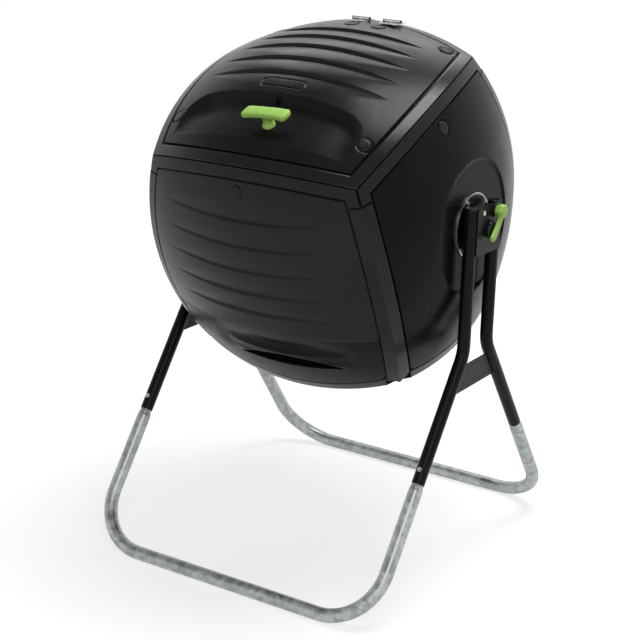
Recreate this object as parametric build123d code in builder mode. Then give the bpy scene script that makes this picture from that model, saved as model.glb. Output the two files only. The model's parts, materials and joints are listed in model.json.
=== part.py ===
from build123d import *
from math import atan, atan2, cos, degrees, radians, sin, sqrt
import os

os.makedirs("parts", exist_ok=True)

# Stand, in millimetres: X along the axle, -Y the front, floor at zero
leg_spacing = 668            # leg centre to leg centre, left to right
floor_bar_spacing = 756      # front bar to rear bar
leg_pair_spacing = 96        # the two legs of one side, at the top
leg_bend_height = 475
leg_bend_radius = 60
leg_top_height = 766
sleeve_height = 252          # lower end of the black legs
floor_bend_radius = 112
axle_drop = 45               # axle below the tops of the legs
axle_height = leg_top_height - axle_drop

# Tubes
upper_tube = 26
lower_tube = 28
tube_wall = 1.5
sleeve_clearance = 0.25
spigot_length = 60
swage_length = 14
leg_screw = 5
leg_screw_rise = 27          # above the end of the sleeve, along the leg
leg_plug_cap = 3
leg_plug_stem = 12

# Axle brackets, bearing blocks and braces
bracket_width = 98
bracket_height = 96
bracket_wall = 3
bracket_screw = 5
bracket_screw_y = 28
bracket_screw_z = 37
bracket_screw_depth = 9
block_width = 64
block_height = 88
block_inner = 322            # inner face of the block, from the middle of the bin
block_boss = 22
block_boss_inner = 315.6
brace_top = 449
brace_bottom = 397
brace_wall = 3
plate_gap = 0.1              # between a plate and what it lies on

# Drum: six bulging faces that meet in the same corners
lean_angle = 24.37           # forward lean of the drum at rest
face_reach = 334             # middle of the top, front, back and bottom faces
end_reach = 331              # middle of the two ends
corner_reach = 233           # each corner, along every axis
panel_wall = 8
mitre_gap = 0.15             # each side of a mitre
strip_width = 23
strip_wall = 5
seam_gap = 3
fit_gap = 0.3
tab_line = 202               # lower end of the top rail's tabs
notch = 6
plug = 13
plug_wall = 4
plug_rise = 0.8

# Door frame and lid
door_wall = 12
frame_width = 24
lid_gap = 3
ledge_width = 12
ledge_depth = 6
ledge_gap = 0.5

# Lap lines pressed into the lid and the two long sides, as position and half length
lid_laps = [(160, 175), (112, 187), (64, 197), (12, 207), (-38, 207)]
lid_lap_depth = 6
side_laps = [(170, 190), (118, 195), (66, 200), (14, 200), (-36, 195)]
side_lap_depth = 4
lap_run = 46

# Handle pocket in the lid and finger recess in the long sides
pocket_start = -211
pocket_end = -99
pocket_half = 195
pocket_depth = 25.5
pocket_corner = 20
pocket_arch = 6
recess_start = -100
recess_end = -180
recess_half = 165
recess_depth = 20
recess_corner = 18
recess_arch = 6
pocket_wall = 10
pocket_rim = 8
slot_width = 10
slot_height = 15
slot_depth = 5
slot_x = 6

# T-handle and its tongue
handle_x = 22
handle_y = -173
handle_length = 104
handle_width = 24
handle_top = 41
handle_stem = 11.5
spindle = 8
spindle_end = 5
running_gap = 0.05
flange = 12.5
flange_wall = 3
tongue_drop = 22.6
tongue_wall = 4
tongue_width = 16
tongue_reach = 60
tongue_tail = 14
tongue_hub = 12

# Lid hinges
hinge_x = 15                 # middle of the pair
hinge_spread = 73            # centre to centre
hinge_width = 38
hinge_lift = 4.5             # axis above the skin
barrel = 3.9
hinge_pin = 2.4
hinge_pin_head = 3.4
hinge_pin_head_wall = 1.5
leaf_length = 22
leaf_wall = 2
pad_wall = 4.5
knuckle_gap = 0.4

# Axle and the discs on the ends of the drum
axle = 25
axle_wall = 2.2
axle_half = 349.4
pad_reach = 312
pad_radius = 132
pad_rim = 10
pad_boss = 10
disc_radius = 66
disc_wall = 3
disc_screw_ring = 58
disc_screw = 5
axle_hole_gap = 0.5
cap_radius = 17.5
cap_wall = 8.5
cap_gap = 0.4
cap_spigot = 12

# Lock on the right bracket
lock_y = 22
lock_z = 33
lock_pin = 4
lock_travel = 6.2
lock_hole = 5
lock_hole_count = 12
collar_radius = 14
collar_wall = 3
neck_radius = 8
neck_length = 9
lever_gap = 0.3
lever_cap = 3.5
lever_hub = 13
lever_reach = 58
lever_width = 15
lever_wall = 9

# Sizes that follow from the ones above
leg_x = leg_spacing / 2
bar_y = floor_bar_spacing / 2
bar_z = lower_tube / 2
pair_y = leg_pair_spacing / 2
leg_rise = leg_bend_height - bar_z
leg_run = bar_y - pair_y
leg_slant = sqrt(leg_rise**2 + leg_run**2)
steep = leg_rise / leg_slant
splay = leg_run / leg_slant
sleeve_y = pair_y + (leg_bend_height - sleeve_height) * leg_run / leg_rise
spigot = upper_tube / 2 - tube_wall - sleeve_clearance
bracket_inner = leg_x + upper_tube / 2 + plate_gap
bracket_outer = bracket_inner + bracket_wall
lid_inset = frame_width + lid_gap
root_two = sqrt(2)

# One plane for each face of the drum, its origin in the middle of the drum
top = Plane(
    origin=(0, 0, axle_height),
    x_dir=(1, 0, 0),
    z_dir=(0, -sin(radians(lean_angle)), cos(radians(lean_angle))),
)
front = Plane(origin=top.origin, x_dir=top.x_dir, z_dir=-top.y_dir)
right = Plane(origin=top.origin, x_dir=top.y_dir, z_dir=top.x_dir)
back = Plane(origin=top.origin, x_dir=-top.x_dir, z_dir=top.y_dir)
left = Plane(origin=top.origin, x_dir=-top.y_dir, z_dir=-top.x_dir)
bottom = Plane(origin=top.origin, x_dir=top.x_dir, z_dir=-top.z_dir)
side_faces = [front, right, back, left]
side_names = ["front", "right", "back", "left"]
side_reaches = [face_reach, end_reach, face_reach, end_reach]

on_top = (Align.CENTER, Align.CENTER, Align.MIN)
below = (Align.CENTER, Align.CENTER, Align.MAX)


def save(piece, name):
    piece.label = name
    export_step(piece, "parts/" + name + ".step")


# Stand

def screw_plane(side, way):
    middle = (
        side * leg_x,
        way * (sleeve_y - leg_screw_rise * splay),
        sleeve_height + leg_screw_rise * steep,
    )
    return Plane(origin=middle, x_dir=(1, 0, 0), z_dir=(0, way * steep, splay))


def upper_leg(side, way):
    leg_plane = Plane(origin=(side * leg_x, 0, 0), x_dir=(0, way, 0), z_dir=(way, 0, 0))
    with BuildPart() as leg:
        with BuildLine(leg_plane) as path:
            FilletPolyline(
                (pair_y, leg_top_height),
                (pair_y, leg_bend_height),
                (sleeve_y, sleeve_height),
                radius=leg_bend_radius,
            )
        with BuildSketch(Plane(origin=path.line @ 0, z_dir=path.line % 0)):
            Circle(upper_tube / 2)
            Circle(upper_tube / 2 - tube_wall, mode=Mode.SUBTRACT)
        sweep(path=path.line)
        with Locations(screw_plane(side, way)):
            Cylinder(leg_screw / 2 + fit_gap, upper_tube, align=on_top, mode=Mode.SUBTRACT)
    return leg.part


def lower_frame(way):
    slope = Plane(origin=(0, way * bar_y, bar_z), x_dir=(1, 0, 0), z_dir=(0, -steep, -way * splay))
    swage_start = (sleeve_height - bar_z) / steep - swage_length
    with BuildPart() as tube:
        with BuildLine(slope) as path:
            FilletPolyline(
                (-leg_x, swage_start),
                (-leg_x, 0),
                (leg_x, 0),
                (leg_x, swage_start),
                radius=floor_bend_radius,
            )
        with BuildSketch(Plane(origin=path.line @ 0, z_dir=path.line % 0)):
            Circle(lower_tube / 2)
            Circle(lower_tube / 2 - tube_wall, mode=Mode.SUBTRACT)
        sweep(path=path.line)
        for side in (-1, 1):
            end = Plane(
                origin=slope.from_local_coords((side * leg_x, swage_start, 0)),
                x_dir=(1, 0, 0),
                z_dir=slope.y_dir,
            )
            with Locations(end):
                Cone(lower_tube / 2, spigot, swage_length, align=on_top)
            with Locations(end.offset(swage_length)):
                Cylinder(spigot, spigot_length, align=on_top)
            with Locations(end):
                Cone(
                    lower_tube / 2 - tube_wall,
                    spigot - tube_wall,
                    swage_length,
                    align=on_top,
                    mode=Mode.SUBTRACT,
                )
            with Locations(end.offset(swage_length)):
                Cylinder(spigot - tube_wall, spigot_length, align=on_top, mode=Mode.SUBTRACT)
            with Locations(screw_plane(side, way)):
                Cylinder(leg_screw / 2 + fit_gap, upper_tube, align=on_top, mode=Mode.SUBTRACT)
    return tube.part


save(lower_frame(-1), "front_lower_tube")
save(lower_frame(1), "rear_lower_tube")
for way, row in ((-1, "front"), (1, "rear")):
    for side, hand in ((-1, "left"), (1, "right")):
        save(upper_leg(side, way), "upper_leg_" + row + "_" + hand)

corners = [(side, way) for side in (-1, 1) for way in (-1, 1)]

with BuildPart() as leg_plugs:
    for side, way in corners:
        mouth = Plane(origin=(side * leg_x, way * pair_y, leg_top_height + plate_gap))
        with BuildSketch(mouth):
            Circle(upper_tube / 2)
        extrude(amount=leg_plug_cap)
        with BuildSketch(mouth):
            Circle(upper_tube / 2 - tube_wall - fit_gap)
        extrude(amount=-leg_plug_stem)
    fillet(leg_plugs.edges().group_by(Axis.Z)[-1], 2)
save(leg_plugs.part, "leg_plugs")

with BuildPart() as leg_screws:
    for side, way in corners:
        seat = screw_plane(side, way).offset(upper_tube / 2 + fit_gap)
        with Locations(seat):
            Cylinder(leg_screw * 0.95, 2, align=on_top)
            Cylinder(leg_screw / 2, 9, align=below)
        with BuildSketch(seat.offset(2)):
            RegularPolygon(leg_screw * 0.6, 6)
        extrude(amount=-1.4, mode=Mode.SUBTRACT)
save(leg_screws.part, "leg_screws")


def outward(side, reach):
    return Plane(origin=(side * reach, 0, axle_height), x_dir=(0, side, 0), z_dir=(side, 0, 0))


# Two screws along the top of a bracket: on the right the lock takes the place of the rear one
def screw_spots(side):
    spots = [(-bracket_screw_y, bracket_screw_z)]
    if side < 0:
        spots.append((bracket_screw_y, bracket_screw_z))
    return spots


for side, hand in ((-1, "left"), (1, "right")):
    with BuildPart() as bracket:
        with BuildSketch(outward(side, bracket_inner)):
            RectangleRounded(bracket_width, bracket_height, 7)
            Circle(axle / 2 + axle_hole_gap, mode=Mode.SUBTRACT)
            with Locations(screw_spots(side)):
                Circle(bracket_screw / 2 + fit_gap, mode=Mode.SUBTRACT)
            if side > 0:
                with Locations((lock_y, lock_z)):
                    Circle(lock_pin + fit_gap, mode=Mode.SUBTRACT)
        extrude(amount=bracket_wall)
    save(bracket.part, "axle_bracket_" + hand)

    with BuildPart() as block:
        with BuildSketch(outward(side, block_inner)):
            RectangleRounded(block_width, block_height, 6)
        extrude(amount=bracket_inner - plate_gap - block_inner)
        with BuildSketch(outward(side, block_inner)):
            Circle(block_boss)
        extrude(amount=block_boss_inner - block_inner)
        with BuildSketch(outward(side, block_boss_inner)):
            Circle(axle / 2 + running_gap)
            if side > 0:
                with Locations((lock_y, lock_z)):
                    Circle(lock_pin + running_gap)
        extrude(amount=bracket_inner - block_boss_inner, mode=Mode.SUBTRACT)
        with BuildSketch(outward(side, bracket_inner)):
            with Locations(screw_spots(side)):
                Circle(bracket_screw / 2 + fit_gap)
        extrude(amount=-bracket_screw_depth, mode=Mode.SUBTRACT)
    save(block.part, "bearing_block_" + hand)

    with BuildPart() as brace:
        half_top = pair_y + (leg_bend_height - brace_top) * leg_run / leg_rise - upper_tube / 2 / steep
        half_bottom = pair_y + (leg_bend_height - brace_bottom) * leg_run / leg_rise - upper_tube / 2 / steep
        with BuildSketch(Plane(origin=(side * leg_x, 0, 0), x_dir=(0, side, 0), z_dir=(side, 0, 0))):
            with BuildLine():
                Polyline(
                    (half_top - fit_gap, brace_top),
                    (half_bottom - fit_gap, brace_bottom),
                    (fit_gap - half_bottom, brace_bottom),
                    (fit_gap - half_top, brace_top),
                    close=True,
                )
            make_face()
        extrude(amount=brace_wall / 2, both=True)
    save(brace.part, "leg_brace_" + hand)

with BuildPart() as bracket_screws:
    for side in (-1, 1):
        seat = outward(side, bracket_outer + plate_gap)
        with BuildSketch(seat):
            with Locations(screw_spots(side)):
                Circle(bracket_screw * 0.95)
        extrude(amount=2.2)
        with BuildSketch(seat):
            with Locations(screw_spots(side)):
                Circle(bracket_screw / 2)
        extrude(amount=-bracket_wall - bracket_screw_depth + 1)
save(bracket_screws.part, "bracket_screws")


# Drum

def dome_radius(reach):
    return (2 * corner_reach**2 + (reach - corner_reach) ** 2) / (2 * (reach - corner_reach))


def dome_centre(face, reach):
    return face.offset(reach - dome_radius(reach))


def dome_height(reach, x, y):
    radius = dome_radius(reach)
    return reach - radius + sqrt(radius**2 - x**2 - y**2)


def on_skin(face, reach, x, y):
    height = dome_height(reach, x, y)
    normal = face.x_dir * x + face.y_dir * y + face.z_dir * (height - reach + dome_radius(reach))
    place = face.from_local_coords((x, y, height))
    return Plane(origin=place, x_dir=face.y_dir.cross(normal), z_dir=normal)


# Everything under one face that is further in than the mitre planes by the given insets
def funnel(face, inset_x, inset_y):
    with BuildPart() as block:
        for height in (corner_reach / 2, corner_reach * 2):
            with BuildSketch(face.offset(height)):
                Rectangle(2 * (height - inset_x * root_two), 2 * (height - inset_y * root_two))
        loft()
    return block.part


def shell(face, reach, outer, inner, inset_x, inset_y):
    radius = dome_radius(reach)
    with BuildPart() as skin:
        with Locations(dome_centre(face, reach)):
            Sphere(radius - outer, rotation=(90, 0, 0))
        add(funnel(face, inset_x, inset_y), mode=Mode.INTERSECT)
        with Locations(dome_centre(face, reach)):
            Sphere(radius - inner, rotation=(90, 0, 0), mode=Mode.SUBTRACT)
    return skin.part


def border(face, reach, outer, inner, inset_out, inset_in):
    with BuildPart() as ring:
        add(shell(face, reach, outer, inner, inset_out, inset_out))
        add(funnel(face, inset_in, inset_in), mode=Mode.SUBTRACT)
    return ring.part


# Lap lines: each cuts deepest along one edge and runs out from there, down or up, and to both ends
def laps(face, reach, lines, depth, run):
    profile = Plane(origin=face.origin, x_dir=face.y_dir, z_dir=face.x_dir)
    with BuildPart() as cutter:
        for y, half in lines:
            deep = dome_height(reach, 0, y)
            level = dome_height(reach, 0, y + run)
            bend = sqrt(dome_radius(reach) ** 2 - y**2)
            sweep_radius = 1 / (1 / bend - 2 * depth / half**2)
            with BuildSketch(profile):
                Polygon(
                    (y, deep - depth),
                    (y, deep + depth),
                    (y + run, level + depth),
                    (y + run, level),
                    align=None,
                )
            turn = Axis(profile.from_local_coords((0, deep - depth - sweep_radius, 0)), face.y_dir)
            revolve(axis=turn)
    return cutter.part


def pocket_prism(face, start, end, half, corner, arch, grow):
    way = 1 if end > start else -1
    shoulder = end + way * (grow - arch)
    with BuildPart() as prism:
        with BuildSketch(face.offset(corner_reach / 2)) as outline:
            with BuildLine():
                Polyline(
                    (half + grow, shoulder),
                    (half + grow, start - way * (pocket_rim + grow)),
                    (-half - grow, start - way * (pocket_rim + grow)),
                    (-half - grow, shoulder),
                )
                ThreePointArc((-half - grow, shoulder), (0, end + way * grow), (half + grow, shoulder))
            make_face()
            corners = outline.vertices().sort_by(Axis.Y)
            fillet(corners[2:] if way > 0 else corners[:2], corner + grow)
        extrude(amount=2 * corner_reach)
    return prism.part


# The floor of a pocket is the dome itself, tipped inwards about the line where the pocket runs out
def floor_centre(face, reach, start, end, depth):
    way = 1 if end > start else -1
    tip = atan(depth / abs(end - start))
    rise = sqrt(dome_radius(reach) ** 2 - start**2)
    across = start - start * cos(tip) - way * rise * sin(tip)
    height = reach - dome_radius(reach) + rise + way * start * sin(tip) - rise * cos(tip)
    return Plane(origin=face.from_local_coords((0, across, height)), x_dir=face.x_dir, z_dir=face.z_dir)


def pocket_backing(face, reach, start, end, half, depth, corner, arch, inset):
    radius = dome_radius(reach)
    with BuildPart() as backing:
        add(pocket_prism(face, start, end, half, corner, arch, pocket_rim))
        with Locations(dome_centre(face, reach)):
            Sphere(radius, rotation=(90, 0, 0), mode=Mode.INTERSECT)
        add(funnel(face, inset, inset), mode=Mode.INTERSECT)
        with Locations(floor_centre(face, reach, start, end, depth)):
            Sphere(radius - pocket_wall, rotation=(90, 0, 0), mode=Mode.SUBTRACT)
    return backing.part


def pocket_cut(face, reach, start, end, half, depth, corner, arch):
    with BuildPart() as cut:
        add(pocket_prism(face, start, end, half, corner, arch, 0))
        with Locations(floor_centre(face, reach, start, end, depth)):
            Sphere(dome_radius(reach), rotation=(90, 0, 0), mode=Mode.SUBTRACT)
    return cut.part


# The floor of a finger recess is flat: it leaves the dome at its start and is deepest at the lip
def recess_floor(face, reach):
    begin = dome_height(reach, 0, recess_start)
    slope = (dome_height(reach, 0, recess_end) - recess_depth - begin) / (recess_end - recess_start)
    return Plane(
        origin=face.from_local_coords((0, recess_start, begin)),
        x_dir=face.x_dir,
        z_dir=face.z_dir - face.y_dir * slope,
    )


def recess_prism(face, grow):
    return pocket_prism(face, recess_start, recess_end, recess_half, recess_corner, recess_arch, grow)


def recess_backing(face, reach):
    with BuildPart() as backing:
        add(recess_prism(face, pocket_rim))
        with Locations(dome_centre(face, reach)):
            Sphere(dome_radius(reach), rotation=(90, 0, 0), mode=Mode.INTERSECT)
        add(funnel(face, strip_width + seam_gap, strip_width + seam_gap), mode=Mode.INTERSECT)
        with Locations(recess_floor(face, reach).offset(-pocket_wall)):
            Box(6 * corner_reach, 6 * corner_reach, 6 * corner_reach, align=below, mode=Mode.SUBTRACT)
    return backing.part


def recess_cut(face, reach):
    with BuildPart() as cut:
        add(recess_prism(face, 0))
        with Locations(recess_floor(face, reach)):
            Box(6 * corner_reach, 6 * corner_reach, 6 * corner_reach, align=below, mode=Mode.SUBTRACT)
    return cut.part


def panel(face, reach):
    with BuildPart() as body:
        add(shell(face, reach, 0, panel_wall, mitre_gap, mitre_gap))
        add(
            border(face, reach, -strip_wall, strip_wall + fit_gap, -strip_wall, strip_width + seam_gap),
            mode=Mode.SUBTRACT,
        )
    return body.part


field_corner = corner_reach - (strip_width + seam_gap) * root_two / 2
side_plugs = [on_skin(face, reach, 0, 224) for face, reach in zip(side_faces, side_reaches)]


def plug_holes(places):
    with BuildPart() as holes:
        for place in places:
            with Locations(place):
                Cylinder(plug + fit_gap, plug_wall + fit_gap, align=below)
                Cylinder(plug + fit_gap, plug_wall, align=on_top)
    return holes.part


def plug_set(places):
    with BuildPart() as plugs:
        for place in places:
            with Locations(place.offset(plug_rise)):
                Cylinder(plug, plug_wall + plug_rise, align=below)
        fillet(plugs.edges().filter_by(GeomType.CIRCLE).filter_by(lambda edge: is_outer(edge, places)), 0.7)
    return plugs.part


def is_outer(edge, places):
    return any((edge.arc_center - place.offset(plug_rise).origin).length < 0.01 for place in places)


for face, name, place in ((front, "front", side_plugs[0]), (back, "back", side_plugs[2])):
    with BuildPart() as long_side:
        add(panel(face, face_reach))
        add(recess_backing(face, face_reach))
        add(recess_cut(face, face_reach), mode=Mode.SUBTRACT)
        add(laps(face, face_reach, side_laps, side_lap_depth, lap_run), mode=Mode.SUBTRACT)
        add(plug_holes([place]), mode=Mode.SUBTRACT)
        for side in (-1, 1):
            with Locations(on_skin(face, face_reach, side * field_corner, -field_corner)):
                Cylinder(notch, 2 * strip_wall, mode=Mode.SUBTRACT)
    save(long_side.part, name + "_panel")

for face, name, place in ((left, "left", side_plugs[3]), (right, "right", side_plugs[1])):
    with BuildPart() as end_side:
        add(panel(face, end_reach))
        with BuildSketch(face.offset(pad_reach)):
            Circle(pad_radius + pad_rim)
        extrude(amount=-pad_boss)
        with BuildSketch(face.offset(pad_reach)):
            Circle(pad_radius)
        extrude(amount=end_reach, mode=Mode.SUBTRACT)
        with Locations(face):
            Cylinder(axle / 2 + axle_hole_gap, end_reach, align=on_top, mode=Mode.SUBTRACT)
        add(plug_holes([place]), mode=Mode.SUBTRACT)
        for side in (-1, 1):
            with Locations(on_skin(face, end_reach, side * field_corner, -field_corner)):
                Cylinder(notch, 2 * strip_wall, mode=Mode.SUBTRACT)
    save(end_side.part, name + "_end_panel")

save(panel(bottom, face_reach), "bottom_panel")
save(plug_set(side_plugs), "panel_plugs")

# Upper part of the edge strips, from the mitre with the door frame down to the ends of the tabs
for face, reach, name in zip(side_faces, side_reaches, side_names):
    with BuildPart() as rail:
        add(border(face, reach, 0, strip_wall, mitre_gap, strip_width))
        tab_end = face.from_local_coords((0, tab_line, 0))
        with Locations(Plane(origin=tab_end, x_dir=face.x_dir, z_dir=face.y_dir)):
            Box(6 * corner_reach, 6 * corner_reach, 6 * corner_reach, align=below, mode=Mode.SUBTRACT)
    save(rail.part, "top_rail_" + name)


# Lower part of the strips of one face, bounded by the given mitre insets
def lower_strips(face, reach, inset_x, inset_y):
    stop = Plane(
        origin=face.from_local_coords((0, tab_line - seam_gap, 0)),
        x_dir=face.x_dir,
        z_dir=face.y_dir,
    )
    with BuildPart() as strips:
        add(shell(face, reach, 0, strip_wall, inset_x, inset_y))
        add(funnel(face, strip_width, strip_width), mode=Mode.SUBTRACT)
        with Locations(stop):
            Box(6 * corner_reach, 6 * corner_reach, 6 * corner_reach, align=on_top, mode=Mode.SUBTRACT)
    return strips.part


def upright_half(face, reach, side):
    with BuildPart() as half:
        add(lower_strips(face, reach, 0, mitre_gap))
        add(funnel(face, strip_width, -2 * corner_reach), mode=Mode.SUBTRACT)
        with Locations(Plane(origin=face.origin, x_dir=face.y_dir, z_dir=face.x_dir * -side)):
            Box(6 * corner_reach, 6 * corner_reach, 6 * corner_reach, align=on_top, mode=Mode.SUBTRACT)
    return half.part


for index in range(4):
    after = (index + 1) % 4
    with BuildPart() as corner_strip:
        add(upright_half(side_faces[index], side_reaches[index], 1))
        add(upright_half(side_faces[after], side_reaches[after], -1))
    save(corner_strip.part, "corner_strip_" + side_names[index] + "_" + side_names[after])

for face, reach, name in zip(side_faces, side_reaches, side_names):
    with BuildPart() as low_rail:
        add(lower_strips(face, reach, mitre_gap, 0))
        add(funnel(face, strip_width + seam_gap, -2 * corner_reach), mode=Mode.INTERSECT)
    with BuildPart() as sector:
        along = face.z_dir.cross(bottom.z_dir)
        with BuildSketch(Plane(origin=bottom.origin, x_dir=along, z_dir=bottom.z_dir)):
            Polygon(
                (0, seam_gap / 2),
                (2 * corner_reach, 2 * corner_reach + seam_gap / 2),
                (-2 * corner_reach, 2 * corner_reach + seam_gap / 2),
                align=None,
            )
        extrude(amount=2 * corner_reach)
    with BuildPart() as bottom_rail:
        add(border(bottom, face_reach, 0, strip_wall, 0, strip_width))
        add(sector.part, mode=Mode.INTERSECT)
        add(low_rail.part)
    save(bottom_rail.part, "bottom_rail_" + name)

# Hinge line along the back gap of the lid
half_chord = (frame_width + lid_gap / 2) * root_two - face_reach + dome_radius(face_reach)
gap_y = (sqrt(2 * dome_radius(face_reach) ** 2 - half_chord**2) - half_chord) / 2
hinge = on_skin(top, face_reach, 0, gap_y).offset(hinge_lift)
hinge_centres = [hinge_x - hinge_spread / 2, hinge_x + hinge_spread / 2]
gap_edge = lid_gap * 0.75


def hinge_pads(way):
    with BuildPart() as pads:
        with BuildSketch(hinge.offset(-hinge_lift - plate_gap)):
            for centre in hinge_centres:
                with Locations((centre, way * (gap_edge + leaf_length) / 2)):
                    Rectangle(hinge_width + 2, leaf_length - gap_edge)
        extrude(amount=-pad_wall)
    return pads.part


# Leaves: a flat plate with fingers rolled round the pin
def hinge_leaves(way, spans):
    with BuildPart() as leaves:
        for centre in hinge_centres:
            with BuildSketch(hinge.offset(-hinge_lift)):
                with Locations((centre, way * (leaf_length + barrel + 2 * knuckle_gap) / 2)):
                    Rectangle(hinge_width, leaf_length - barrel - 2 * knuckle_gap)
                for start, stop in spans:
                    with Locations((centre + (start + stop) / 2, way * leaf_length / 4)):
                        Rectangle(stop - start, leaf_length / 2)
            extrude(amount=leaf_wall)
            for start, stop in spans:
                turning = Plane(
                    origin=hinge.from_local_coords((centre + start, 0, 0)),
                    x_dir=hinge.y_dir,
                    z_dir=hinge.x_dir,
                )
                with BuildSketch(turning):
                    Circle(barrel)
                extrude(amount=stop - start)
        for centre in hinge_centres:
            barrel_axis = Plane(
                origin=hinge.from_local_coords((centre - hinge_width, 0, 0)),
                x_dir=hinge.y_dir,
                z_dir=hinge.x_dir,
            )
            with BuildSketch(barrel_axis):
                Circle(hinge_pin + running_gap)
            extrude(amount=2 * hinge_width, mode=Mode.SUBTRACT)
    return leaves.part


knuckle = hinge_width / 3
outer_spans = [(-hinge_width / 2, -knuckle / 2), (knuckle / 2, hinge_width / 2)]
inner_spans = [(knuckle_gap - knuckle / 2, knuckle / 2 - knuckle_gap)]
save(hinge_leaves(1, outer_spans), "hinge_frame_leaves")
save(hinge_leaves(-1, inner_spans), "hinge_lid_leaves")

with BuildPart() as hinge_pins:
    for centre in hinge_centres:
        start = Plane(
            origin=hinge.from_local_coords((centre - hinge_width / 2 - fit_gap, 0, 0)),
            x_dir=hinge.y_dir,
            z_dir=hinge.x_dir,
        )
        with BuildSketch(start):
            Circle(hinge_pin)
        extrude(amount=hinge_width + 2 * fit_gap)
        with BuildSketch(start):
            Circle(hinge_pin_head)
        extrude(amount=-hinge_pin_head_wall)
        with BuildSketch(start.offset(hinge_width + 2 * fit_gap)):
            Circle(hinge_pin_head)
        extrude(amount=hinge_pin_head_wall)
save(hinge_pins.part, "hinge_pins")

# Door frame with the ledge that the lid's rim comes down on
with BuildPart() as door_frame:
    add(border(top, face_reach, 0, door_wall, mitre_gap, frame_width + ledge_width))
    add(shell(top, face_reach, -ledge_depth, ledge_depth, frame_width, frame_width), mode=Mode.SUBTRACT)
    add(hinge_pads(1))
save(door_frame.part, "door_frame")

# Lid
lid_plug_spots = [(-208, -150), (208, -150), (-198, 196), (198, 196)]
lid_plug_spots += [(hinge_x - 31, 202), (hinge_x + 31, 202)]
lid_plug_places = [on_skin(top, face_reach, x, y) for x, y in lid_plug_spots]
pocket_floor = floor_centre(top, face_reach, pocket_start, pocket_end, pocket_depth)
floor_y = top.to_local_coords(pocket_floor.origin).Y
floor_z = top.to_local_coords(pocket_floor.origin).Z
floor_rise = sqrt(dome_radius(face_reach) ** 2 - handle_x**2 - (handle_y - floor_y) ** 2)
handle = Plane(
    origin=top.from_local_coords((handle_x, handle_y, floor_z + floor_rise)),
    x_dir=top.x_dir * floor_rise - top.z_dir * handle_x,
    z_dir=top.x_dir * handle_x + top.y_dir * (handle_y - floor_y) + top.z_dir * floor_rise,
)
wall_height = dome_height(face_reach, 0, pocket_end)

with BuildPart() as lid_panel:
    add(shell(top, face_reach, 0, door_wall, lid_inset, lid_inset))
    add(
        pocket_backing(
            top,
            face_reach,
            pocket_start,
            pocket_end,
            pocket_half,
            pocket_depth,
            pocket_corner,
            pocket_arch,
            lid_inset,
        )
    )
    add(
        border(
            top,
            face_reach,
            ledge_depth - ledge_gap,
            door_wall * 3,
            0,
            frame_width + ledge_width + ledge_gap,
        ),
        mode=Mode.SUBTRACT,
    )
    add(
        pocket_cut(
            top,
            face_reach,
            pocket_start,
            pocket_end,
            pocket_half,
            pocket_depth,
            pocket_corner,
            pocket_arch,
        ),
        mode=Mode.SUBTRACT,
    )
    add(laps(top, face_reach, lid_laps, lid_lap_depth, -lap_run), mode=Mode.SUBTRACT)
    add(plug_holes(lid_plug_places), mode=Mode.SUBTRACT)
    add(hinge_pads(-1))
    with Locations(handle):
        Cylinder(spindle + running_gap, 4 * pocket_wall, mode=Mode.SUBTRACT)
    slot_middle = top.from_local_coords((slot_x, pocket_end, wall_height - pocket_depth / 2))
    with Locations(Plane(origin=slot_middle, x_dir=top.x_dir, z_dir=top.z_dir)):
        Box(slot_width, 2 * slot_depth, slot_height, mode=Mode.SUBTRACT)
save(lid_panel.part, "lid_panel")
save(plug_set(lid_plug_places), "lid_plugs")

# T-handle: a bowed bar on a stem, its spindle through the pocket floor
with BuildPart() as latch_handle:
    with BuildSketch(Plane(origin=handle.origin, x_dir=handle.x_dir, z_dir=-handle.y_dir)):
        with BuildLine():
            Polyline(
                (handle_length / 2, handle_top - 8),
                (handle_length / 2, handle_top - 23),
                (handle_length / 4, handle_top - 20),
                (-handle_length / 4, handle_top - 20),
                (-handle_length / 2, handle_top - 23),
                (-handle_length / 2, handle_top - 8),
            )
            ThreePointArc(
                (-handle_length / 2, handle_top - 8),
                (0, handle_top),
                (handle_length / 2, handle_top - 8),
            )
        make_face()
    extrude(amount=handle_width / 2, both=True)
    fillet(latch_handle.edges(), 5)
    with Locations(handle.offset(fit_gap)):
        Cone(handle_stem, handle_stem - 2, handle_top - 15, align=on_top)
        Cylinder(flange, flange_wall, align=on_top)
    with Locations(handle.offset(fit_gap)):
        Cylinder(spindle, tongue_drop + fit_gap, align=below)
        Cylinder(spindle_end, tongue_drop + fit_gap + tongue_wall + 1, align=below)
save(latch_handle.part, "latch_handle")

with BuildPart() as latch_tongue:
    with BuildSketch(handle.offset(-tongue_drop - plate_gap)):
        with Locations(((tongue_reach - tongue_tail) / 2, 0)):
            RectangleRounded(tongue_reach + tongue_tail, tongue_width, 5)
        Circle(spindle_end + running_gap, mode=Mode.SUBTRACT)
    extrude(amount=-tongue_wall)
    with BuildSketch(handle.offset(-tongue_drop - plate_gap)):
        Circle(tongue_hub)
        Circle(spindle + running_gap, mode=Mode.SUBTRACT)
    extrude(amount=tongue_drop + plate_gap - pocket_wall - 2 * fit_gap)
save(latch_tongue.part, "latch_tongue")

# Axle, discs and caps
with BuildPart() as axle_tube:
    with BuildSketch(Plane.YZ.offset(-axle_half)):
        with Locations((0, axle_height)):
            Circle(axle / 2)
            Circle(axle / 2 - axle_wall, mode=Mode.SUBTRACT)
    extrude(amount=2 * axle_half)
save(axle_tube.part, "axle")

with BuildPart() as axle_caps:
    for side in (-1, 1):
        seat = outward(side, bracket_outer + cap_gap)
        with BuildSketch(seat):
            Circle(cap_radius)
        extrude(amount=cap_wall)
        with BuildSketch(seat):
            Circle(axle / 2 - axle_wall - running_gap)
        extrude(amount=-cap_spigot)
    fillet(axle_caps.edges().group_by(Axis.X)[0] + axle_caps.edges().group_by(Axis.X)[-1], 4)
save(axle_caps.part, "axle_caps")

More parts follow.
